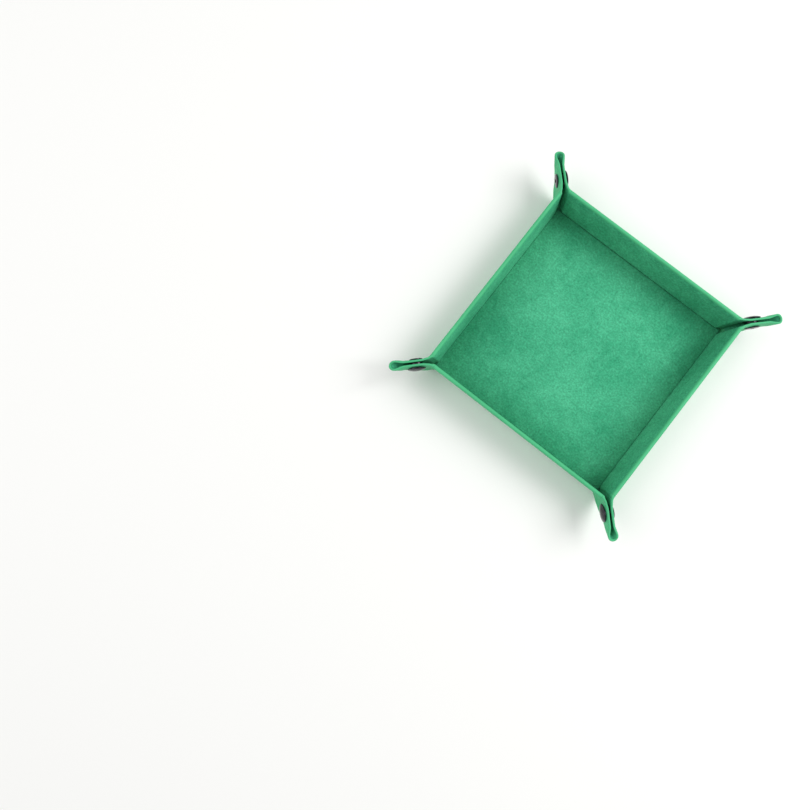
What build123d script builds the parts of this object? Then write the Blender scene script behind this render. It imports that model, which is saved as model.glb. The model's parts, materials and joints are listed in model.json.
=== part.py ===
from build123d import *
from math import acos, cos, degrees, radians, sin, sqrt, tan
import os

# Folding dice tray: a square leatherette sheet lined with velvet over five boards.
# The walls stand on creases around the base board. Each corner of the sheet has no board:
# it folds on its diagonal into an ear, and a press stud through the ear holds the walls up.
# Origin: centre of the base, on its underside. +X right, +Y back, +Z up. Millimetres.

# Sheet, flat and folded
fold_span = 154.0  # base square, from crease to crease
wall_slant = 31.0  # from a crease up to the rim, along the wall
wall_flare = 7.0  # lean of a raised wall away from upright, in degrees
sheet_corner_radius = 7.0  # rounding of the sheet's four outer corners

# Layers
leather_thickness = 0.7
board_thickness = 1.5
velvet_thickness = 0.8
hem_width = 1.6  # leather turned over onto the inside along every free edge

# Clearances
crease_clearance = 0.35  # between panels that meet at a crease
bend_clearance = 0.3  # each side of the bend between a wall and its ear
board_end_gap = 1.8  # from a wall board's end to that bend
stem_clearance = 0.05  # around a stem in the pieces it passes through
stud_clearance = 0.4  # around the stud in its socket
socket_gap = 0.2  # between the socket's mouth and the stud's flange
stem_head_gap = 0.3  # between the stud's tip and the stem head below it

# Press stud
ear_gap = 3.0  # between the velvet faces of a closed ear
snap_below_rim = 8.0  # from the rim's line down to the centre of the stud
snap_from_bend = 10.4  # from the bend out to the centre of the stud
cap_radius = 6.6
cap_rim_height = 0.8
cap_height = 2.0
stem_radius = 1.9
stem_head_radius = 2.5
stem_head_height = 0.3
socket_flange_radius = 5.9
socket_collar_radius = 4.7
socket_floor = 0.6
stud_flange_radius = 5.5
stud_flange_height = 0.6
stud_radius = 2.9
post_radius = 5.0
post_height = 0.9
post_bore_radius = 1.2
edge_rounding = 0.25  # small rounding on the pressed metal edges

# Worked out from the sizes above
half_base = fold_span / 2
sheet_thickness = leather_thickness + velvet_thickness
full_thickness = sheet_thickness + board_thickness
crease_height = leather_thickness / 2
flare_sin = sin(radians(wall_flare))
flare_cos = cos(radians(wall_flare))
bend_stretch = sqrt(1 + flare_sin**2)  # length of the slanted bend per unit up the wall
bend_swing = degrees(acos(flare_cos / sqrt(2)))  # turn from the wall into the raised ear
ear_offset = ear_gap / 2 + velvet_thickness + leather_thickness / 2
bend_inset = ear_offset * sqrt(2)  # from the base corner to the foot of the bend
fold_allowance = ear_offset + leather_thickness / 2  # sheet left free for the turn at the fold
corner_reach = bend_inset + wall_slant  # from the foot of the bend to the sheet's edge
socket_height = ear_gap - stud_flange_height - socket_gap
stud_height = socket_height + socket_gap - socket_floor - stem_head_height - stem_head_gap
up = Vector(0, 0, 1)


def setback(layer_top):
    """How far a layer stops short of its crease so that raised wall and base don't touch."""
    opening = (90 + wall_flare) / 2
    return (layer_top - crease_height) / tan(radians(opening)) + crease_clearance


def bend_at(height):
    """Distance from the foot of a bend, along the crease, to the bend at this height."""
    return height * flare_sin


def panel(low, high, end_gap):
    """Wall outline between two heights, stopping short of the bends at both ends."""
    half_low = half_base - bend_inset + bend_at(low) - end_gap * bend_stretch
    half_high = half_base - bend_inset + bend_at(high) - end_gap * bend_stretch
    Polygon((-half_low, low), (half_low, low), (half_high, high), (-half_high, high), align=None)


def ear_outline(side, low, trim=0.0, bend_gap=bend_clearance, fold_gap=fold_allowance):
    """Half of a sheet corner, on one side of its diagonal fold, less a trim on its free edges."""
    top = wall_slant - trim
    reach = corner_reach - trim
    start = bend_gap * bend_stretch
    Polygon(
        (side * (bend_at(low) + start), low),
        (side * reach, low),
        (side * reach, top),
        (side * (bend_at(top) + start), top),
        align=None,
    )
    outer_corner = vertices().sort_by_distance((side * reach, top))[0]
    fillet(outer_corner, sheet_corner_radius - trim)
    fold_start = bend_inset - fold_gap * sqrt(2)
    Polygon(
        (side * (fold_start + low), low),
        (side * (fold_start + top), top),
        (-side * corner_reach, top),
        (-side * corner_reach, low),
        align=None,
        mode=Mode.INTERSECT,
    )


def finish(piece, name):
    """Label a finished piece and write it."""
    piece.part.label = name
    export_step(piece.part, f"parts/{name}.step")


def base_layer(name, low, high):
    """One square layer of the base."""
    side = fold_span - 2 * setback(high)
    with BuildPart() as layer:
        with BuildSketch(Plane.XY.offset(low)):
            Rectangle(side, side)
        extrude(amount=high - low)
    finish(layer, name)


def wall_board(name, wall_plane):
    """Stiff board inside a wall, under the turned rim."""
    with BuildPart() as board:
        with BuildSketch(wall_plane.offset(leather_thickness)):
            panel(setback(leather_thickness + board_thickness), wall_slant - leather_thickness, board_end_gap)
        extrude(amount=board_thickness)
    finish(board, name)


def wall_leather(name, wall_plane):
    """Outer skin of a wall, turned over the board's top edge and down inside it."""
    with BuildPart() as leather:
        with BuildSketch(wall_plane):
            panel(setback(leather_thickness), wall_slant, bend_clearance)
        extrude(amount=leather_thickness)
        with BuildSketch(wall_plane):
            panel(wall_slant - hem_width, wall_slant, bend_clearance)
        extrude(amount=full_thickness)
        with BuildSketch(wall_plane.offset(leather_thickness)):
            panel(wall_slant - hem_width, wall_slant - leather_thickness, 0)
        extrude(amount=board_thickness, mode=Mode.SUBTRACT)
    finish(leather, name)


def wall_velvet(name, wall_plane):
    """Velvet on the inside of a wall, up to the turned rim."""
    with BuildPart() as velvet:
        with BuildSketch(wall_plane.offset(leather_thickness + board_thickness)):
            panel(setback(full_thickness), wall_slant - hem_width, bend_clearance)
        extrude(amount=velvet_thickness)
    finish(velvet, name)


def ear_leather(name, ear_plane, side, snap_place):
    """Outer skin of half an ear, turned over along its free edge, pierced for the stem."""
    with BuildPart() as leather:
        with BuildSketch(ear_plane):
            ear_outline(side, crease_clearance)
        extrude(amount=sheet_thickness)
        with BuildSketch(ear_plane.offset(leather_thickness)):
            ear_outline(side, 0, trim=hem_width, bend_gap=0, fold_gap=0)
        extrude(amount=velvet_thickness, mode=Mode.SUBTRACT)
        with BuildSketch(snap_place):
            Circle(stem_radius + stem_clearance)
        extrude(amount=leather_thickness, mode=Mode.SUBTRACT)
    finish(leather, name)


def ear_velvet(name, ear_plane, side, snap_place):
    """Velvet on the inside of half an ear, pierced for the stem."""
    with BuildPart() as velvet:
        with BuildSketch(ear_plane.offset(leather_thickness)):
            ear_outline(side, crease_clearance, trim=hem_width)
        extrude(amount=velvet_thickness)
        with BuildSketch(snap_place.offset(leather_thickness)):
            Circle(stem_radius + stem_clearance)
        extrude(amount=velvet_thickness, mode=Mode.SUBTRACT)
    finish(velvet, name)


def turned(name, place, corners, rounded, dome=None):
    """Pressed metal piece: a half profile of radius and height above the leather's outer face."""
    profile_plane = Plane(place.origin, x_dir=place.x_dir, z_dir=-place.y_dir)
    with BuildPart() as piece:
        with BuildSketch(profile_plane):
            with BuildLine():
                if dome:
                    ThreePointArc(corners[0], dome, corners[1])
                    Polyline(*corners[1:], corners[0])
                else:
                    Polyline(*corners, close=True)
            make_face()
            for corner in rounded:
                fillet(vertices().sort_by_distance(corner)[0], edge_rounding)
        revolve(axis=Axis(place.origin, place.z_dir))
    finish(piece, name)


def snap_cap(name, place):
    """Domed cap outside the ear, with its stem through the ear and spread inside the socket."""
    slope = (cap_height - cap_rim_height) / cap_radius**2
    half_way = cap_radius / 2
    dome_point = (half_way, -cap_height + slope * half_way**2)
    stem_end = leather_thickness + velvet_thickness + socket_floor
    corners = [
        (0, -cap_height),
        (cap_radius, -cap_rim_height),
        (cap_radius, 0),
        (stem_radius, 0),
        (stem_radius, stem_end),
        (stem_head_radius, stem_end),
        (stem_head_radius, stem_end + stem_head_height),
        (0, stem_end + stem_head_height),
    ]
    turned(name, place, corners, rounded=[(cap_radius, -cap_rim_height)], dome=dome_point)


def snap_socket(name, place):
    """Socket on the velvet: a flange with a raised collar around the mouth."""
    foot = sheet_thickness
    top = foot + socket_height
    bore = stud_radius + stud_clearance
    corners = [
        (stem_radius + stem_clearance, foot),
        (socket_flange_radius, foot),
        (socket_flange_radius, foot + socket_floor),
        (socket_collar_radius, foot + socket_floor),
        (socket_collar_radius, top),
        (bore, top),
        (bore, foot + socket_floor),
        (stem_radius + stem_clearance, foot + socket_floor),
    ]
    rounded = [(socket_flange_radius, foot + socket_floor), (socket_collar_radius, top)]
    turned(name, place, corners, rounded)


def snap_stud(name, place):
    """Stud on the velvet of the facing half: a flange with a round head that enters the socket."""
    foot = sheet_thickness
    shoulder = foot + stud_flange_height
    tip = shoulder + stud_height
    corners = [
        (stem_radius + stem_clearance, foot),
        (stud_flange_radius, foot),
        (stud_flange_radius, shoulder),
        (stud_radius, shoulder),
        (stud_radius, tip),
        (stem_radius + stem_clearance, tip),
    ]
    turned(name, place, corners, rounded=[(stud_flange_radius, shoulder), (stud_radius, tip)])


def snap_post(name, place):
    """Post outside the facing half: a flanged eyelet whose stem holds the stud."""
    corners = [
        (post_bore_radius, -post_height),
        (post_radius, -post_height),
        (post_radius, 0),
        (stem_radius, 0),
        (stem_radius, sheet_thickness + stud_flange_height),
        (post_bore_radius, sheet_thickness + stud_flange_height),
    ]
    turned(name, place, corners, rounded=[(post_radius, -post_height)])


os.makedirs("parts", exist_ok=True)

# Base: leather skin underneath, board, velvet on top
board_top = leather_thickness + board_thickness
base_layer("leather_base", 0, leather_thickness)
base_layer("base_board", leather_thickness, board_top)
base_layer("velvet_base", board_top, full_thickness)

# Walls with their two ear halves. Every plane lies on the leather's outer face,
# with its normal towards the velvet, X along the crease and Y up the wall.
walls = ("front", "right", "back", "left")
capped_walls = ("front", "back")

for place_in_ring, wall in enumerate(walls):
    azimuth = 90 * (place_in_ring - 1)
    outward = Vector(cos(radians(azimuth)), sin(radians(azimuth)), 0)
    inward = outward * -flare_cos + up * flare_sin
    along = outward.cross(up)
    crease = outward * half_base + up * crease_height
    wall_plane = Plane(crease, x_dir=along, z_dir=inward).offset(-crease_height)
    wall_board(f"wall_board_{wall}", wall_plane)
    wall_leather(f"leather_wall_{wall}", wall_plane)
    wall_velvet(f"velvet_wall_{wall}", wall_plane)

    for side in (1, -1):
        neighbour = walls[(place_in_ring - side) % len(walls)]
        half = f"{wall}_{neighbour}"
        foot_of_bend = crease + along * side * (half_base - bend_inset)
        bend = (wall_plane.y_dir + along * side * flare_sin).normalized()
        swing = Axis((0, 0, 0), bend)
        ear_x = along.rotate(swing, side * bend_swing)
        ear_normal = inward.rotate(swing, side * bend_swing)
        ear_plane = Plane(foot_of_bend, x_dir=ear_x, z_dir=ear_normal).offset(-crease_height)

        snap_height = wall_slant - snap_below_rim
        snap_centre = (side * (bend_at(snap_height) + snap_from_bend), snap_height, 0)
        snap_place = Plane(ear_plane.from_local_coords(snap_centre), x_dir=ear_x, z_dir=ear_normal)

        ear_leather(f"leather_ear_{half}", ear_plane, side, snap_place)
        ear_velvet(f"velvet_ear_{half}", ear_plane, side, snap_place)
        if wall in capped_walls:
            snap_cap(f"snap_cap_{half}", snap_place)
            snap_socket(f"snap_socket_{half}", snap_place)
        else:
            snap_post(f"snap_post_{half}", snap_place)
            snap_stud(f"snap_stud_{half}", snap_place)
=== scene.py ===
import json
from math import acos, atan2, cos, pi, radians, sin, sqrt, tan

import bmesh
import bpy
import numpy as np
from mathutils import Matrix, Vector
from mathutils.geometry import delaunay_2d_cdt


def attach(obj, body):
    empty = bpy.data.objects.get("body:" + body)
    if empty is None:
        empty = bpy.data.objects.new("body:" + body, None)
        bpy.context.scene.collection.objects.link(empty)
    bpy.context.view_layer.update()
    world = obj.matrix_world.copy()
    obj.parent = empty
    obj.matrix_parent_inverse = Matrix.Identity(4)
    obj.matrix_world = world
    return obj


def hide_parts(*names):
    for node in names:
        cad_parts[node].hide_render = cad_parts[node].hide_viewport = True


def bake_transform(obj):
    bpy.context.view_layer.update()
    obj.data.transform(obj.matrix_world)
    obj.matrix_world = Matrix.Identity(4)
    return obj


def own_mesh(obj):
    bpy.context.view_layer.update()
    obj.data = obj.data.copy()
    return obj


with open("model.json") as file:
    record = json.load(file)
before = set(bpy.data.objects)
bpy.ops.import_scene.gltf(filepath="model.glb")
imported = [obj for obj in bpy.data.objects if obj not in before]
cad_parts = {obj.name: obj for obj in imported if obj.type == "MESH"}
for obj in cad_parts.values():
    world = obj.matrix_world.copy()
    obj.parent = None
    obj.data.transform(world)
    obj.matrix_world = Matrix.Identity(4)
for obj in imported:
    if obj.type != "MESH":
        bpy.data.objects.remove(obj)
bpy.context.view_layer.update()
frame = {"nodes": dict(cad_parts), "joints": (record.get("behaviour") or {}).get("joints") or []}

up = Vector((0, 0, 1))

# ---------------------------------------------------------------------------
# Leather skin, the outside of the tray. One square of leatherette, creased
# around the base, with its free edge turned over the wall boards as a rim.
# At each corner it folds on the diagonal into an ear of two facing halves.
# ---------------------------------------------------------------------------

# Sizes in millimetres: "height" runs up a wall from its crease, "depth" from
# the skin's outer face towards the velvet. The halves overlap by a hair at the fold.
skin = 0.7
board = 1.5
velvet = 0.8
wall_thick = skin + board + velvet
ear_thick = skin + velvet
middle = skin / 2
rim_height = 31.0
hem = 1.6
ear_corner_radius = 7.0
crease_radius = 1.2
bend_radius = 2.5
half_gap = 1.5
fold_overlap = 0.03
fold_offset = half_gap + velvet + middle + fold_overlap
loop_width = 3.0
seam_back = 3.2
foot_height = 0.65
foot_rise = 1.2
seam_rows = [0.65, 0.8, 1.0, 1.25, 1.5, 1.75, 2, 2.25, 2.5, 2.75, 3, 3.25, 3.5, 3.75, 4]
snap_height = 23.0
snap_out = 10.4

# Every wall's crease and lean are read from the joints that it turns on.
joints = {joint["name"]: joint for joint in frame["joints"]}
wall_names = ("front", "right", "back", "left")
crease_joint = joints["front_wall_fold"]
bend_joint = joints["ear_front_left_fold"]
half_base = Vector(crease_joint["pos_m"]).xy.length * 1000
bend_axis = Vector(bend_joint["axis"])
lean = atan2(abs(bend_axis.x), abs(bend_axis.z))
bend_inset = half_base - abs(bend_joint["pos_m"][0]) * 1000
swing = acos(cos(lean) / sqrt(2))
rise = radians(90) - lean
slope = sin(lean)
tilt = atan2(slope, 1)


def smooth(share):
    """Eases from 0 to 1."""
    share = np.clip(share, 0, 1)
    return share * share * (3 - 2 * share)


def thickness(along_wall, height):
    """Whole thickness, which drops from wall to ear where the board ends."""
    past_bend = along_wall * cos(tilt) - height * sin(tilt)
    return wall_thick - (wall_thick - ear_thick) * smooth((past_bend + 2.4) / 2.3)


def seam_at(height):
    """Where the wall's panel hands over to the ear's, measured from the bend's foot."""
    return slope * height - seam_back * smooth((height - foot_height) / 3)


def round_crease(height, inward):
    """Turns what lies below the crease into the plane of the base, on a small radius."""
    reach = crease_radius * tan(rise / 2)
    share = np.clip((reach - height) / (2 * reach), 0, 1)
    angle = share * rise
    arm = crease_radius - inward
    arm = np.where(share > 0, np.maximum(arm, 0.1), arm)
    past = np.maximum(-reach - height, 0)
    before = np.maximum(height - reach, 0)
    turned_height = reach + before - arm * np.sin(angle) - past * cos(rise)
    turned_inward = crease_radius - arm * np.cos(angle) + past * sin(rise)
    return turned_height, turned_inward


def soft_shape(across, height, from_fold):
    """How far an ear's leather drifts in depth, away from the flat: the halves draw together
    along the rim and past the stud, and swell a little beside the fold."""
    snap_across = slope * snap_height + snap_out
    from_snap = np.hypot(across - snap_across, height - snap_height)
    up_the_fold = (across - bend_inset + height) / sqrt(2)
    past_bend = smooth((across - slope * height) / 6.0)
    free = smooth((from_snap - 6.9) / 5.0) * smooth(height / 8.0) * past_bend
    pinch = 0.85 * np.exp(-((from_fold - 10.0) / 4.0) ** 2) * smooth((up_the_fold - 24.0) / 8.0)
    rim_pinch = 0.75 * smooth((height - 25.0) / 5.0) * past_bend * smooth((from_fold - 6.5) / 4.0)
    swell = -0.75 * np.exp(-((from_fold - 4.2) / 2.4) ** 2)
    return np.maximum(free * pinch, rim_pinch) + free * swell


def fold_up(across, height, depth):
    """Takes a point of the flat sheet to its place in the raised wall's own axes.

    across is measured from the foot of the bend, out along the crease.
    """
    across, height, depth = (np.asarray(v, float) for v in (across, height, depth))
    depth = depth - middle
    from_fold = (bend_inset + height - across) / sqrt(2)
    quarter = np.clip(1 - from_fold / loop_width, 0, 1) * (pi / 2)
    out, into = loop_width * (1 - np.sin(quarter)), fold_offset * (1 - np.cos(quarter))
    lean_out, lean_in = fold_offset * np.sin(quarter), loop_width * np.cos(quarter)
    length = np.hypot(lean_out, lean_in)
    in_loop = quarter > 0
    out = np.where(in_loop, out + depth * lean_out / length, from_fold)
    into = np.where(in_loop, into + depth * lean_in / length, depth)
    into = into + soft_shape(across, height, from_fold) * np.cos(quarter)
    shift = (from_fold - out) / sqrt(2)
    x, y = across + shift, height - shift

    along_bend = x * sin(tilt) + y * cos(tilt)
    past_bend = x * cos(tilt) - y * sin(tilt)
    reach = bend_radius * tan(swing / 2)
    share = np.clip((past_bend + reach) / (2 * reach), 0, 1)
    angle = share * swing
    arm = bend_radius + into
    before = np.minimum(past_bend + reach, 0)
    after = np.maximum(past_bend - reach, 0)
    r = -reach + before + arm * np.sin(angle) + after * cos(swing)
    n = -bend_radius + arm * np.cos(angle) - after * sin(swing)
    x = along_bend * sin(tilt) + r * cos(tilt)
    y = along_bend * cos(tilt) - r * sin(tilt)

    straight_x = np.minimum(across, bend_inset + slope * height)
    lifted = smooth(height / foot_rise)
    x = straight_x + (x - straight_x) * lifted
    y = height + (y - height) * lifted
    n = depth + (n - depth) * lifted
    y, n = round_crease(y, n)
    return x, y, n


def wall_axes(wall):
    """Crease, and the directions along it, up the wall and inward, for one wall."""
    crease = Vector(joints[f"{wall}_wall_fold"]["pos_m"])
    outward = Vector((crease.x, crease.y, 0)).normalized()
    along = outward.cross(up)
    up_wall = up * cos(lean) + outward * sin(lean)
    inward = up * sin(lean) - outward * cos(lean)
    return crease, outward, along, up_wall, inward


def place_on_wall(wall, side, across, height, inward_by):
    """Wall axes to the tray's: across from the bend's foot on one side of the wall."""
    crease, outward, along, up_wall, inward = wall_axes(wall)
    run = side * (half_base - bend_inset + np.asarray(across, float)) / 1000
    rows = np.outer(run, along) + np.outer(np.asarray(height, float) / 1000, up_wall)
    return np.array(crease) + rows + np.outer(np.asarray(inward_by, float) / 1000, inward)


def hem_profile(thick):
    """The turned edge as (distance from the edge, depth), from the outer face round to the inner."""
    r = thick / 2
    turn = [(r - r * sin(radians(a)), r - r * cos(radians(a))) for a in range(0, 181, 20)]
    end = hem + 0.02
    return [
        *turn,
        (hem - 0.15, thick),
        (hem, thick - 0.12),
        (hem, thick - skin),
        (r if r < 1 else skin + 0.05, thick - skin),
        (r if r < 1 else skin + 0.05, skin),
        (end, skin),
    ][0 if r < hem else 1:]


def make_piece(name, points, faces, material):
    """A smooth mesh piece from points in metres, with its sharp turns kept."""
    mesh = bpy.data.meshes.new(name)
    mesh.from_pydata([tuple(p) for p in points], [], faces)
    shell = bmesh.new()
    shell.from_mesh(mesh)
    bmesh.ops.recalc_face_normals(shell, faces=shell.faces)
    shell.to_mesh(mesh)
    shell.free()
    mesh.shade_smooth()
    mesh.set_sharp_from_angle(angle=radians(50))
    mesh.materials.append(material)
    piece = bpy.data.objects.new(name, mesh)
    bpy.context.scene.collection.objects.link(piece)
    return piece


def wall_panel(name, wall, section, reaches, material, columns=28):
    """A closed section, given in a wall's (height, inward) axes, drawn out along the wall."""
    section, reaches = np.asarray(section, float), np.asarray(reaches, float)
    count = len(section)
    points = []
    for column in range(columns + 1):
        share = 1 - 2 * column / columns
        run = share * (half_base - bend_inset + reaches) - (half_base - bend_inset)
        points.append(place_on_wall(wall, 1, run, section[:, 0], section[:, 1]))
    points = np.concatenate(points)
    faces = []
    for column in range(columns):
        a, b = column * count, (column + 1) * count
        for k in range(count):
            m = (k + 1) % count
            faces.append((a + k, a + m, b + m, b + k))
    faces.append(tuple(reversed(range(count))))
    faces.append(tuple(range(columns * count, (columns + 1) * count)))
    return make_piece(name, points, faces, material)


def free_edge(trim, first, last, spacing=0.5):
    """Flat points on the sheet's free edge less a trim, with their inward directions.

    first and last are distances along: negative up to the corner's rounding, then its angle.
    """
    centre = (bend_inset + rim_height - ear_corner_radius, rim_height - ear_corner_radius)
    radius = ear_corner_radius - trim
    points, inwards = [], []
    if first is not None:
        start = first
        steps = max(2, int((centre[0] - start) / spacing))
        for k in range(steps):
            points.append((start + (centre[0] - start) * k / steps, rim_height - trim))
            inwards.append((0.0, -1.0))
        begin = 0.0
    else:
        begin = fold_angle(radius)
    end = fold_angle(radius) if last is None else last
    steps = max(3, int(radius * (end - begin) / spacing))
    for k in range(steps + 1):
        angle = begin + (end - begin) * k / steps
        points.append((centre[0] + radius * sin(angle), centre[1] + radius * cos(angle)))
        inwards.append((-sin(angle), -cos(angle)))
    return points, inwards


def fold_angle(radius):
    """Where the rounded corner of this radius crosses into the fold's loop."""
    return acos(loop_width / radius) - pi / 4


def ear_panel(name, wall, side, outline, edge_count, inwards, profile, low, high, spacing, material):
    """A shell over a flat outline of an ear, with a turned or rounded free edge.

    The outline starts with edge_count points of the free edge. profile gives the edge's
    section as (distance from the outline, depth), low and high the two faces' depths.
    """
    outline = [tuple(p) for p in outline]
    count = len(outline)
    xs, ys = [p[0] for p in outline], [p[1] for p in outline]
    inner = []
    polygon = np.array(outline)
    nexts = np.roll(polygon, -1, axis=0)
    y = min(ys) + spacing / 2
    row = 0
    while y < max(ys):
        x = min(xs) + spacing / 2 * (1 + row % 2)
        while x < max(xs):
            crosses = (polygon[:, 1] > y) != (nexts[:, 1] > y)
            rise_y = np.where(crosses, nexts[:, 1] - polygon[:, 1], 1)
            hit = polygon[:, 0] + (y - polygon[:, 1]) * (nexts[:, 0] - polygon[:, 0]) / rise_y
            inside = np.count_nonzero(crosses & (x < hit)) % 2
            run = nexts - polygon
            t = ((x - polygon[:, 0]) * run[:, 0] + (y - polygon[:, 1]) * run[:, 1])
            t = np.clip(t / np.maximum((run ** 2).sum(1), 1e-9), 0, 1)
            away = np.hypot(polygon[:, 0] + t * run[:, 0] - x, polygon[:, 1] + t * run[:, 1] - y)
            if inside and away.min() > spacing * 0.45:
                inner.append((x, y))
            x += spacing
        y += spacing * 0.866
        row += 1
    flat = [Vector(p) for p in outline + inner]
    made = delaunay_2d_cdt(flat, [], [list(range(count))], 1, 1e-6)
    spots, triangles = made[0], made[2]
    total = len(spots)
    order = {}
    for index, sources in enumerate(made[3]):
        for source in sources:
            order[source] = index
    flat_x, flat_y = np.array([s.x for s in spots]), np.array([s.y for s in spots])
    lower = np.stack(fold_up(flat_x, flat_y, low(flat_x, flat_y)), 1)
    upper = np.stack(fold_up(flat_x, flat_y, high(flat_x, flat_y)), 1)
    local = [*lower, *upper]
    faces = []
    for a, b, c in triangles:
        area = (flat_x[b] - flat_x[a]) * (flat_y[c] - flat_y[a])
        area -= (flat_x[c] - flat_x[a]) * (flat_y[b] - flat_y[a])
        if area < 0:
            b, c = c, b
        faces.append((c, b, a))
        faces.append((total + a, total + b, total + c))
    rings = []
    for k in range(edge_count):
        here, inward = outline[k], inwards[k]
        ring = [order[k]]
        for away, depth in profile(here)[1:-1]:
            x, y = here[0] + inward[0] * away, here[1] + inward[1] * away
            ring.append(len(local))
            local.append(np.array([float(v) for v in fold_up(x, y, depth)]))
        ring.append(total + order[k])
        rings.append(ring)
    for one, two in zip(rings, rings[1:]):
        for j in range(len(one) - 1):
            faces.append((one[j], two[j], two[j + 1], one[j + 1]))
    faces.append(tuple(rings[0]))
    faces.append(tuple(reversed(rings[-1])))
    for k in range(edge_count - 1, count):
        a, b = order[k], order[(k + 1) % count]
        faces.append((a, b, total + b, total + a))
    local = np.array(local)
    points = place_on_wall(wall, side, local[:, 0], local[:, 1], local[:, 2])
    if side > 0:
        faces = [tuple(reversed(face)) for face in faces]
    return make_piece(name, points, faces, material)


def color(hex_code):
    """sRGB hex to the linear colour that shaders use."""
    parts = [int(hex_code[i:i + 2], 16) / 255 for i in (1, 3, 5)]
    return (*[c / 12.92 if c <= 0.04045 else ((c + 0.055) / 1.055) ** 2.4 for c in parts], 1)


def add_node(tree, kind, settings=(), **links):
    """Adds a node, sets its properties and values, and links its named inputs."""
    node = tree.nodes.new(kind)
    for key, value in dict(settings).items():
        if hasattr(node, key):
            setattr(node, key, value)
        else:
            node.inputs[key].default_value = value
    for key, source in links.items():
        target = next(s for s in node.inputs if s.name.replace(" ", "_") == key and s.enabled)
        tree.links.new(source, target)
    return node


def new_material(name):
    """An empty node material with its Principled shader."""
    material = bpy.data.materials.new(name)
    material.use_nodes = True
    tree = material.node_tree
    return material, tree, tree.nodes["Principled BSDF"]


# Embossed polyurethane leatherette, a smooth coated face pressed with a fine
# pebble: satin, slightly uneven in colour. The pebble is drawn 1 mm across, about
# twice its real size, so that it shows.
leatherette, tree, shader = new_material("leatherette_embossed_green")
where = add_node(tree, "ShaderNodeTexCoord").outputs["Object"]
pebble = add_node(tree, "ShaderNodeTexVoronoi", {"feature": "F1", "Scale": 1000.0}, Vector=where)
grain = add_node(tree, "ShaderNodeTexNoise", {"Scale": 700.0, "Detail": 3.0}, Vector=where)
drift = add_node(tree, "ShaderNodeTexNoise", {"Scale": 45.0, "Detail": 3.0}, Vector=where)
tone = add_node(tree, "ShaderNodeValToRGB", Fac=drift.outputs["Fac"])
tone.color_ramp.elements[0].position, tone.color_ramp.elements[1].position = 0.35, 0.65
tone.color_ramp.elements[0].color = color("#46b27b")
tone.color_ramp.elements[1].color = color("#4dba82")
satin_range = {"From Min": 0.3, "From Max": 0.7, "To Min": 0.5, "To Max": 0.62}
rough = add_node(tree, "ShaderNodeMapRange", satin_range, Value=grain.outputs["Fac"])
press = add_node(
    tree, "ShaderNodeBump", {"Strength": 0.55, "Distance": 0.00016}, Height=pebble.outputs["Distance"],
)
press = add_node(
    tree, "ShaderNodeBump", {"Strength": 0.25, "Distance": 0.0001}, Height=grain.outputs["Fac"],
    Normal=press.outputs["Normal"],
)
tree.links.new(tone.outputs["Color"], shader.inputs["Base Color"])
tree.links.new(rough.outputs["Result"], shader.inputs["Roughness"])
tree.links.new(press.outputs["Normal"], shader.inputs["Normal"])
shader.inputs["IOR"].default_value = 1.48
shader.inputs["Specular IOR Level"].default_value = 0.3


def leather_depth(x, y):
    return np.zeros_like(np.asarray(x, float))


def leather_inner(x, y):
    return np.full_like(np.asarray(x, float), skin)


def leather_edge(spot):
    """The hem's section at a point of the outline that runs one hem inside the free edge."""
    thick = float(thickness(spot[0], spot[1]))
    ring = hem_profile(thick)
    start, end = (hem + 0.02, 0.0), (hem + 0.02, skin)
    if ring[0][0] > hem + 0.01:
        ring = ring[1:]
    return [(away - hem - 0.02, depth) for away, depth in [start, *ring[:-1], end]]


def square_outline(half):
    """Corners of a square round the middle of the tray."""
    return [(half, -half), (half, half), (-half, half), (-half, -half)]


def flat_slab(name, outline, bottom, top, edge, material):
    """A flat layer of the base, with its upper and lower edges slightly eased."""
    count = len(outline)
    shrunk = [(x * (1 - edge / half_base), y * (1 - edge / half_base)) for x, y in outline]
    rings = [(shrunk, bottom), (outline, bottom + edge), (outline, top - edge), (shrunk, top)]
    points = [(x / 1000, y / 1000, z / 1000) for ring, z in rings for x, y in ring]
    faces = [tuple(reversed(range(count))), tuple(range(3 * count, 4 * count))]
    for level in range(3):
        a = level * count
        for k in range(count):
            m = (k + 1) % count
            faces.append((a + k, a + m, a + count + m, a + count + k))
    return make_piece(name, points, faces, material)


crease_strip = 2.0
cut_ease = 0.02
base_flat = square_outline(half_base - crease_strip)
leather_base = flat_slab("leather_skin_base", base_flat, 0, skin, cut_ease, leatherette)

# The skin's four corners, which run a little way under the foot of each ear. They close
# the corner when the walls are laid flat and are tucked under the fold when they stand.
corner_out, corner_in, corner_round = half_base + 0.8, half_base - 2.6, 0.7
for x_side, y_side in ((1, 1), (-1, 1), (-1, -1), (1, -1)):
    tab = [(corner_in, corner_in), (corner_out, corner_in), (corner_out, corner_out - corner_round)]
    tab += [(corner_out - corner_round * 0.3, corner_out - corner_round * 0.3)]
    tab += [(corner_out - corner_round, corner_out), (corner_in, corner_out)]
    outline = [(x * x_side, y * y_side) for x, y in tab]
    name = f"leather_corner_{'back' if y_side > 0 else 'front'}_{'right' if x_side > 0 else 'left'}"
    corner = flat_slab(name, outline, 0.1, skin - 0.06, cut_ease, leatherette)
    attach(corner, "base")
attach(leather_base, "base")
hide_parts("leather_base")


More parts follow.
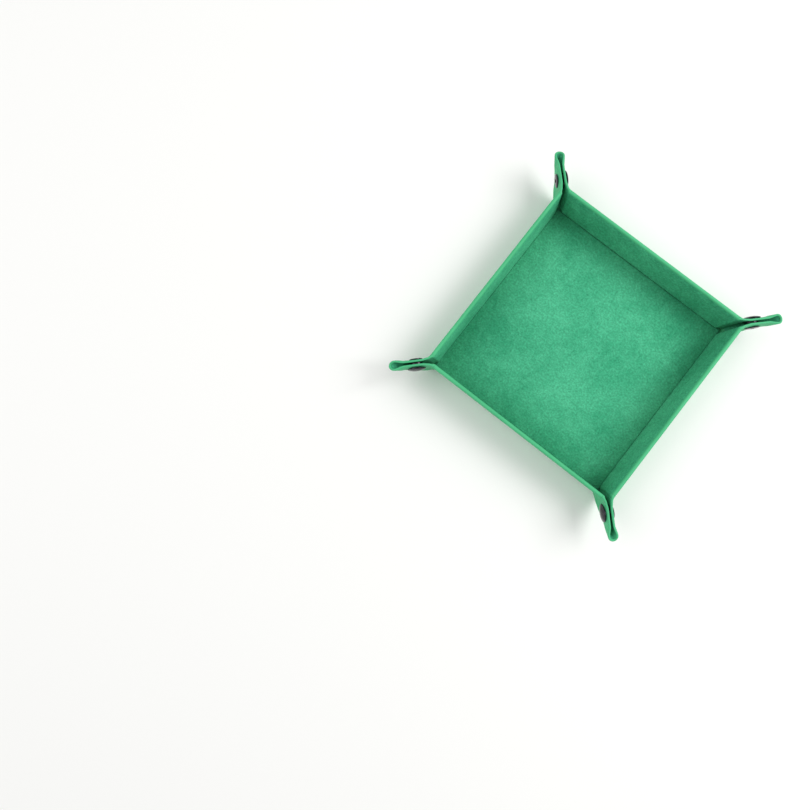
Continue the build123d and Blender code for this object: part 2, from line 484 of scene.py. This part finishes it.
# Up to the crease each wall's skin runs on to the base's corner, where it meets its
# neighbour's on the diagonal; above it the skin ends at the foot of the ear.
foot_reach = 0.62
outer_heights = [-2, -1.5, -1.06, -0.8, -0.55, -0.3, 0, 0.3, 0.55, *seam_rows, 6, 9, 13, 17, 21, 25, 28]
flat_section = [(y, 0.0) for y in outer_heights]
flat_section += [(rim_height - away, depth) for away, depth in hem_profile(wall_thick)]
flat_section += [(y, skin) for y in reversed(outer_heights)]
leather_reaches = [
    bend_inset + y if y <= 0 else foot_reach if y < foot_height else float(seam_at(y))
    for y, depth in flat_section
]
turned_section = [tuple(float(v) for v in round_crease(y, depth - middle)) for y, depth in flat_section]
for wall in wall_names:
    piece = wall_panel(f"leather_skin_{wall}", wall, turned_section, leather_reaches, leatherette)
    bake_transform(piece)
    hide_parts(f"leather_wall_{wall}")


def ear_axes(wall, side):
    """Foot of the bend, the direction across it at rest, and the raised ear's own normal."""
    crease, outward, along, up_wall, inward = wall_axes(wall)
    foot = crease + along * side * (half_base - bend_inset) / 1000
    level = along * side * cos(tilt) - up_wall * sin(tilt)
    bend = along * side * sin(tilt) + up_wall * cos(tilt)
    halfway = level * cos(swing / 2) - inward * sin(swing / 2)
    normal = inward * cos(swing) + level * sin(swing)
    out = level * cos(swing) - inward * sin(swing)
    return foot, halfway, out, bend, normal


def ear_outlines(trim, low_line):
    """Flat outlines of an ear's rigid half and of its half of the loop, free edge first."""
    start = float(seam_at(rim_height - trim))
    edge, inwards = free_edge(trim, start, None)
    low_x = bend_inset - loop_width * sqrt(2) + low_line
    foot_x = float(seam_at(low_line))
    steps = 40
    end_y = edge[-1][1]
    fold_side = [
        (bend_inset - loop_width * sqrt(2) + y, y)
        for y in np.linspace(end_y, low_line, steps)[1:]
    ]
    bottom = [(float(x), low_line) for x in np.linspace(low_x, foot_x, 7)[1:-1]]
    heights = [low_line, *[row for row in seam_rows if row > low_line]]
    heights += list(np.linspace(seam_rows[-1], rim_height - trim, 31)[1:-1])
    seam_side = [(float(seam_at(y)), float(y)) for y in heights]
    rigid = edge + fold_side + bottom + seam_side
    loop_edge, loop_inwards = free_edge(trim, None, pi / 4, 0.35)
    tip_y = loop_edge[-1][1]
    fold_line = [
        (bend_inset + y, y) for y in np.linspace(tip_y, max(low_line - 1.0, 0.1), steps + 20)[1:]
    ]
    loop_bottom = [(low_x + 0.02, max(low_line - 1.0, 0.1)), (low_x, low_line)]
    back = [(bend_inset - loop_width * sqrt(2) + y, y) for y in np.linspace(low_line, end_y, steps)[1:-1]]
    loop = loop_edge + fold_line + loop_bottom + back
    return (rigid, len(edge), inwards), (loop, len(loop_edge), loop_inwards)


leather_outlines = ear_outlines(hem + 0.02, foot_height)
(leather_flat, leather_count, leather_ins), (loop_flat, loop_count, loop_ins) = leather_outlines
for index, wall in enumerate(wall_names):
    for side in (1, -1):
        half = f"{wall}_{wall_names[(index - side) % 4]}"
        foot, halfway, out, bend, normal = ear_axes(wall, side)
        piece = ear_panel(
            f"leather_ear_half_{half}", wall, side, leather_flat, leather_count, leather_ins,
            leather_edge, leather_depth, leather_inner, 0.8, leatherette,
        )
        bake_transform(piece)
        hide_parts(f"leather_ear_{half}")
        loop = ear_panel(
            f"leather_fold_{half}", wall, side, loop_flat, loop_count, loop_ins,
            leather_edge, leather_depth, leather_inner, 0.5, leatherette,
        )
        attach(loop, f"ear_{half}")
        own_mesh(loop)

# ---------------------------------------------------------------------------
# Velvet lining, glued over the boards on the inside and tucked down into each
# crease. Cut flannel-backed velvet with a short pile; its edge butts against
# the turned hem, and it lines both halves of every ear.
# ---------------------------------------------------------------------------
pile_gap = 0.15
pile_round = 0.3
velvet_trim = hem + pile_gap + pile_round
velvet_seam = 3.1

# Short cut-pile velvet: matt, soft at the edges of the light, and clouded where
# the pile has been brushed or pressed. Tufts about 1.4 mm across stand for the real
# pile, which is several times finer.
pile, tree, shader = new_material("velvet_cut_pile_green")
where = add_node(tree, "ShaderNodeTexCoord").outputs["Object"]
cloud_look = {"Scale": 22.0, "Detail": 5.0, "Roughness": 0.55, "Distortion": 0.6}
cloud = add_node(tree, "ShaderNodeTexNoise", cloud_look, Vector=where)
brushed_look = {"Scale": 160.0, "Detail": 3.0, "Distortion": 0.8}
brushed = add_node(tree, "ShaderNodeTexNoise", brushed_look, Vector=where)
nap = add_node(tree, "ShaderNodeTexNoise", {"Scale": 700.0, "Detail": 4.0, "Roughness": 0.7}, Vector=where)
mixed = add_node(tree, "ShaderNodeMix", {"data_type": "FLOAT"})
mixed.inputs[0].default_value = 0.35
tree.links.new(cloud.outputs["Fac"], mixed.inputs[2])
tree.links.new(brushed.outputs["Fac"], mixed.inputs[3])
tone = add_node(tree, "ShaderNodeValToRGB", Fac=mixed.outputs[0])
tone.color_ramp.elements[0].position, tone.color_ramp.elements[1].position = 0.36, 0.62
tone.color_ramp.elements[0].color = color("#3a9f76")
tone.color_ramp.elements[1].color = color("#52b98e")
tuft_range = {"From Min": 0.3, "From Max": 0.7, "To Min": 0.66, "To Max": 1.28}
speckle = add_node(tree, "ShaderNodeMapRange", tuft_range, Value=nap.outputs["Fac"])
shade = add_node(tree, "ShaderNodeVectorMath", {"operation": "SCALE"}, Scale=speckle.outputs["Result"])
tree.links.new(tone.outputs["Color"], shade.inputs[0])
fuzz = add_node(tree, "ShaderNodeBump", {"Strength": 0.5, "Distance": 0.0002}, Height=nap.outputs["Fac"])
fuzz = add_node(
    tree, "ShaderNodeBump", {"Strength": 0.3, "Distance": 0.0006}, Height=brushed.outputs["Fac"],
    Normal=fuzz.outputs["Normal"],
)
tree.links.new(shade.outputs["Vector"], shader.inputs["Base Color"])
tree.links.new(fuzz.outputs["Normal"], shader.inputs["Normal"])
shader.inputs["Roughness"].default_value = 0.9
shader.inputs["IOR"].default_value = 1.45
shader.inputs["Specular IOR Level"].default_value = 0.1
shader.inputs["Sheen Weight"].default_value = 0.12
shader.inputs["Sheen Roughness"].default_value = 0.5
shader.inputs["Sheen Tint"].default_value = color("#7fd0aa")

velvet_half = half_base - velvet_seam
velvet_base = flat_slab(
    "velvet_lining_base", square_outline(velvet_half), skin + board, wall_thick, cut_ease, pile,
)
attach(velvet_base, "base")
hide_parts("velvet_base")

# Half of the tuck at a crease, as (distance from the crease, depth from the skin's
# middle): over the board's edge and down to the glue line, then the velvet's back.
tuck_face = [
    (3.1, 2.65), (2.95, 2.63), (2.8, 2.57),
    (2.62, 2.46), (2.42, 2.3), (2.12, 2.12), (1.8, 1.8), (1.4, 1.3),
]
tuck_bottom = (1.0, 1.1)
back_face = [(3.1, 1.86), (2.1, 1.86), (1.8, 1.5), (1.3, 0.95), (0.95, 0.74)]
back_bottom = (0.66, 0.71)


def mirror_to_base(distance, depth):
    """The base's half of the tuck, in the wall's axes."""
    return -distance * cos(rise) + depth * sin(rise), distance * sin(rise) + depth * cos(rise)


wall_rows = [3.25, 3.5, 3.75, 4, 6, 9, 12, 15, 18, 21, 24, 27]
top = rim_height - velvet_trim
section, velvet_reaches = [], []
for distance, depth in tuck_face:
    section.append(mirror_to_base(distance, depth))
    velvet_reaches.append(bend_inset - distance)
section.append(tuck_bottom)
velvet_reaches.append(bend_inset - 3.0)
for distance, depth in reversed(tuck_face):
    section.append((distance, depth))
    velvet_reaches.append(float(seam_at(distance)))
full_depth = wall_thick - middle
back_depth = full_depth - velvet
for height in wall_rows:
    section.append((height, full_depth))
    velvet_reaches.append(float(seam_at(height)))
for height, depth in [
    (top, full_depth), (top + 0.21, full_depth - 0.09), (top + pile_round, full_depth - pile_round),
    (top + pile_round, back_depth),
]:
    section.append((height, depth))
    velvet_reaches.append(float(seam_at(height)))
for height in reversed(wall_rows):
    section.append((height, back_depth))
    velvet_reaches.append(float(seam_at(height)))
for distance, depth in back_face:
    section.append((distance, depth))
    velvet_reaches.append(float(seam_at(distance)))
section.append(back_bottom)
velvet_reaches.append(bend_inset - 3.0)
for distance, depth in reversed(back_face):
    section.append(mirror_to_base(distance, depth))
    velvet_reaches.append(bend_inset - distance)
section.reverse()
velvet_reaches.reverse()
for wall in wall_names:
    piece = wall_panel(f"velvet_lining_{wall}", wall, section, velvet_reaches, pile)
    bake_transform(piece)
    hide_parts(f"velvet_wall_{wall}")


def velvet_low(x, y):
    return thickness(x, y) - velvet


def velvet_high(x, y):
    return thickness(x, y)


def velvet_edge(spot):
    """The cut edge of the velvet, slightly rounded by its pile."""
    thick = float(thickness(spot[0], spot[1]))
    out = -pile_round
    return [
        (0, thick - velvet), (out, thick - velvet), (out, thick - pile_round),
        (out * 0.7, thick - 0.09), (0, thick),
    ]


velvet_foot = 2.7
velvet_outlines = ear_outlines(velvet_trim, velvet_foot)
(velvet_flat, velvet_count, velvet_ins), (lining_loop, lining_count, lining_ins) = velvet_outlines
for index, wall in enumerate(wall_names):
    for side in (1, -1):
        half = f"{wall}_{wall_names[(index - side) % 4]}"
        foot, halfway, out, bend, normal = ear_axes(wall, side)
        piece = ear_panel(
            f"velvet_ear_half_{half}", wall, side, velvet_flat, velvet_count, velvet_ins,
            velvet_edge, velvet_low, velvet_high, 0.8, pile,
        )
        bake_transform(piece)
        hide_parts(f"velvet_ear_{half}")
        loop = ear_panel(
            f"velvet_fold_{half}", wall, side, lining_loop, lining_count, lining_ins,
            velvet_edge, velvet_low, velvet_high, 0.5, pile,
        )
        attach(loop, f"ear_{half}")
        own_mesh(loop)

# ---------------------------------------------------------------------------
# Boards, five pieces of grey bookbinder's board glued between the skin and the
# velvet. Only their cut edges could ever be seen.
# ---------------------------------------------------------------------------

# Grey board of pressed paper pulp: matt, with flecks of fibre half a millimetre long.
greyboard, tree, shader = new_material("greyboard_pressed_pulp")
where = add_node(tree, "ShaderNodeTexCoord").outputs["Object"]
fleck = add_node(tree, "ShaderNodeTexNoise", {"Scale": 900.0, "Detail": 4.0}, Vector=where)
tone = add_node(tree, "ShaderNodeValToRGB", Fac=fleck.outputs["Fac"])
tone.color_ramp.elements[0].color = color("#6d6a63")
tone.color_ramp.elements[1].color = color("#9a968c")
tree.links.new(tone.outputs["Color"], shader.inputs["Base Color"])
shader.inputs["Roughness"].default_value = 0.92
for name in ["base_board", *[f"wall_board_{wall}" for wall in wall_names]]:
    frame["nodes"][name].data.materials.clear()
    frame["nodes"][name].data.materials.append(greyboard)

# ---------------------------------------------------------------------------
# Press studs, one through each ear: a domed cap whose stem holds the socket on
# the front and back walls' halves, and an eyelet post that holds the stud on the
# halves facing them. Pressed from brass sheet and plated black.
# ---------------------------------------------------------------------------
cap_profile = [
    (0, -2.0), (1.2, -1.98), (2.4, -1.88), (3.6, -1.68), (4.6, -1.45), (5.4, -1.2), (6.05, -0.95),
    (6.4, -0.74), (6.58, -0.5), (6.55, -0.2), (6.3, -0.02), (5.9, 0), (1.9, 0), (1.9, 2.1), (2.5, 2.1),
    (2.55, 2.25), (2.4, 2.4), (0, 2.4),
]
socket_profile = [
    (1.95, 1.5), (5.7, 1.5), (5.9, 1.65), (5.85, 1.95), (5.6, 2.1), (4.95, 2.1), (4.75, 2.25), (4.7, 3.2),
    (4.75, 3.4), (4.6, 3.62), (4.2, 3.7), (3.6, 3.68), (3.35, 3.5), (3.3, 2.4), (3.2, 2.1), (1.95, 2.1),
]
stud_profile = [
    (1.95, 1.5), (5.3, 1.5), (5.5, 1.65), (5.45, 1.95), (5.2, 2.1), (3.2, 2.1), (2.9, 2.3), (2.62, 2.6),
    (2.75, 2.95), (2.9, 3.2), (2.8, 3.35), (2.6, 3.4), (1.95, 3.4),
]
post_profile = [
    (1.2, -0.75), (1.35, -0.88), (1.7, -0.9), (3.9, -0.82), (4.6, -0.68), (4.95, -0.42), (4.9, -0.12),
    (4.6, 0), (1.9, 0), (1.9, 2.1), (1.2, 2.1),
]

# Brass sheet, pressed and plated black nickel: dark and bright, with a faint
# haze and slightly lighter places where the plating has been rubbed.
black_nickel, tree, shader = new_material("black_nickel_plated_pressed")
where = add_node(tree, "ShaderNodeTexCoord").outputs["Object"]
haze = add_node(tree, "ShaderNodeTexNoise", {"Scale": 900.0, "Detail": 3.0}, Vector=where)
rub = add_node(tree, "ShaderNodeTexNoise", {"Scale": 260.0, "Detail": 4.0}, Vector=where)
tone = add_node(tree, "ShaderNodeValToRGB", Fac=rub.outputs["Fac"])
tone.color_ramp.elements[0].position, tone.color_ramp.elements[1].position = 0.45, 0.75
tone.color_ramp.elements[0].color = color("#313036")
tone.color_ramp.elements[1].color = color("#56535a")
polish_range = {"From Min": 0.3, "From Max": 0.7, "To Min": 0.12, "To Max": 0.22}
rough = add_node(tree, "ShaderNodeMapRange", polish_range, Value=haze.outputs["Fac"])
tree.links.new(tone.outputs["Color"], shader.inputs["Base Color"])
tree.links.new(rough.outputs["Result"], shader.inputs["Roughness"])
shader.inputs["Metallic"].default_value = 1.0

# The lathe: a half profile swept round the stud's axis, then set on its ear.
lathe = bpy.data.node_groups.new("pressed_round", "GeometryNodeTree")
lathe.interface.new_socket("Geometry", in_out="INPUT", socket_type="NodeSocketGeometry")
sockets = {
    "Sides": lathe.interface.new_socket("Sides", in_out="INPUT", socket_type="NodeSocketInt"),
    "Place": lathe.interface.new_socket("Place", in_out="INPUT", socket_type="NodeSocketVector"),
    "Turn": lathe.interface.new_socket("Turn", in_out="INPUT", socket_type="NodeSocketRotation"),
    "Metal": lathe.interface.new_socket("Metal", in_out="INPUT", socket_type="NodeSocketMaterial"),
}
lathe.interface.new_socket("Geometry", in_out="OUTPUT", socket_type="NodeSocketGeometry")
given = add_node(lathe, "NodeGroupInput")
line = add_node(lathe, "GeometryNodeMeshToCurve", Mesh=given.outputs["Geometry"])
ring = add_node(
    lathe, "GeometryNodeCurvePrimitiveCircle", {"Radius": 1e-6}, Resolution=given.outputs["Sides"],
)
swept = add_node(
    lathe, "GeometryNodeCurveToMesh", Curve=ring.outputs["Curve"], Profile_Curve=line.outputs["Curve"],
)
welded = add_node(lathe, "GeometryNodeMergeByDistance", {"Distance": 1e-5}, Geometry=swept.outputs["Mesh"])
spot = add_node(lathe, "GeometryNodePoints", {"Count": 1}, Position=given.outputs["Place"])
placed = add_node(
    lathe, "GeometryNodeInstanceOnPoints", Points=spot.outputs[0], Instance=welded.outputs["Geometry"],
    Rotation=given.outputs["Turn"],
)
real = add_node(lathe, "GeometryNodeRealizeInstances", Geometry=placed.outputs["Instances"])
coated = add_node(
    lathe, "GeometryNodeSetMaterial", Geometry=real.outputs["Geometry"], Material=given.outputs["Metal"],
)
result = add_node(lathe, "NodeGroupOutput")
lathe.links.new(coated.outputs["Geometry"], result.inputs["Geometry"])


def turned_piece(name, profile, place, axis, node, body):
    """A pressed round part, made by the lathe and set on its ear."""
    mesh = bpy.data.meshes.new(name + "_profile")
    rows = [(r / 1000, h / 1000, 0) for r, h in profile]
    closed = profile[0][0] > 0.01
    edges = [(k, k + 1) for k in range(len(rows) - 1)] + ([(len(rows) - 1, 0)] if closed else [])
    mesh.from_pydata(rows, edges, [])
    source = bpy.data.objects.new(name + "_profile", mesh)
    bpy.context.scene.collection.objects.link(source)
    modifier = source.modifiers.new("lathe", "NODES")
    modifier.node_group = lathe
    modifier[sockets["Sides"].identifier] = 56
    modifier[sockets["Place"].identifier] = place
    modifier[sockets["Turn"].identifier] = axis.to_track_quat("Z", "Y").to_euler()
    modifier[sockets["Metal"].identifier] = black_nickel
    view = bpy.context.evaluated_depsgraph_get()
    made = bpy.data.meshes.new_from_object(source.evaluated_get(view), depsgraph=view)
    bpy.data.objects.remove(source)
    made.name = name
    made.shade_smooth()
    made.set_sharp_from_angle(angle=radians(40))
    piece = bpy.data.objects.new(name, made)
    bpy.context.scene.collection.objects.link(piece)
    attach(piece, body)
    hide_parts(node)
    return piece


for index, wall in enumerate(wall_names):
    for side in (1, -1):
        half = f"{wall}_{wall_names[(index - side) % 4]}"
        foot, halfway, out, bend, normal = ear_axes(wall, side)
        across, height = slope * snap_height + snap_out, snap_height
        r = across * cos(tilt) - height * sin(tilt)
        b = across * sin(tilt) + height * cos(tilt)
        place = foot + (out * r + bend * b - normal * middle) / 1000
        if wall in ("front", "back"):
            parts = {"cap": cap_profile, "socket": socket_profile}
        else:
            parts = {"post": post_profile, "stud": stud_profile}
        for part, profile in parts.items():
            name, node = f"press_{part}_{half}", f"snap_{part}_{half}"
            turned_piece(name, profile, place, -normal, node, f"ear_{half}")

# ---------------------------------------------------------------------------
# Floor, lights and camera: a plain pale table under soft studio light, brighter
# from the right, seen from nearly straight above.
# ---------------------------------------------------------------------------
paper, tree, shader = new_material("paper_backdrop_matt")
where = add_node(tree, "ShaderNodeTexCoord").outputs["Object"]
tooth = add_node(tree, "ShaderNodeTexNoise", {"Scale": 300.0, "Detail": 2.0}, Vector=where)
soft = add_node(tree, "ShaderNodeBump", {"Strength": 0.05, "Distance": 0.0002}, Height=tooth.outputs["Fac"])
tree.links.new(soft.outputs["Normal"], shader.inputs["Normal"])
shader.inputs["Base Color"].default_value = color("#f4f4f2")
shader.inputs["Roughness"].default_value = 0.9
bpy.ops.mesh.primitive_grid_add(x_subdivisions=2, y_subdivisions=2, size=6, location=(0, 0, 0))
floor = bpy.context.active_object
floor.name = "floor"
for vertex in floor.data.vertices:
    vertex.co.z = -0.0003
floor.data.materials.append(paper)

world = bpy.data.worlds.new("studio")
bpy.context.scene.world = world
world.use_nodes = True
world.node_tree.nodes["Background"].inputs["Color"].default_value = (1, 1, 1, 1)
world.node_tree.nodes["Background"].inputs["Strength"].default_value = 0.55


def soft_light(name, place, size, power):
    """A large square softbox aimed at the tray."""
    lamp = bpy.data.lights.new(name, "AREA")
    lamp.size, lamp.energy = size, power
    light = bpy.data.objects.new(name, lamp)
    bpy.context.scene.collection.objects.link(light)
    light.location = place
    light.rotation_euler = (-Vector(place)).to_track_quat("-Z", "Y").to_euler()
    return light


soft_light("key_softbox", (0.75, 0.75, 1.1), 0.9, 16)
soft_light("fill_softbox", (-1.0, -0.6, 1.2), 1.2, 8)

bpy.context.scene.view_settings.view_transform = "Standard"
lens = bpy.data.cameras.new("camera")
lens.sensor_width = 36
lens.lens = 31.11
camera = bpy.data.objects.new("camera", lens)
bpy.context.scene.collection.objects.link(camera)
camera.location = (-0.0481, -0.1370, 0.5203)
camera.rotation_euler = (radians(3.949), radians(0.625), radians(38.087))
lens.clip_start, lens.clip_end = 0.01, 20
bpy.context.scene.camera = camera
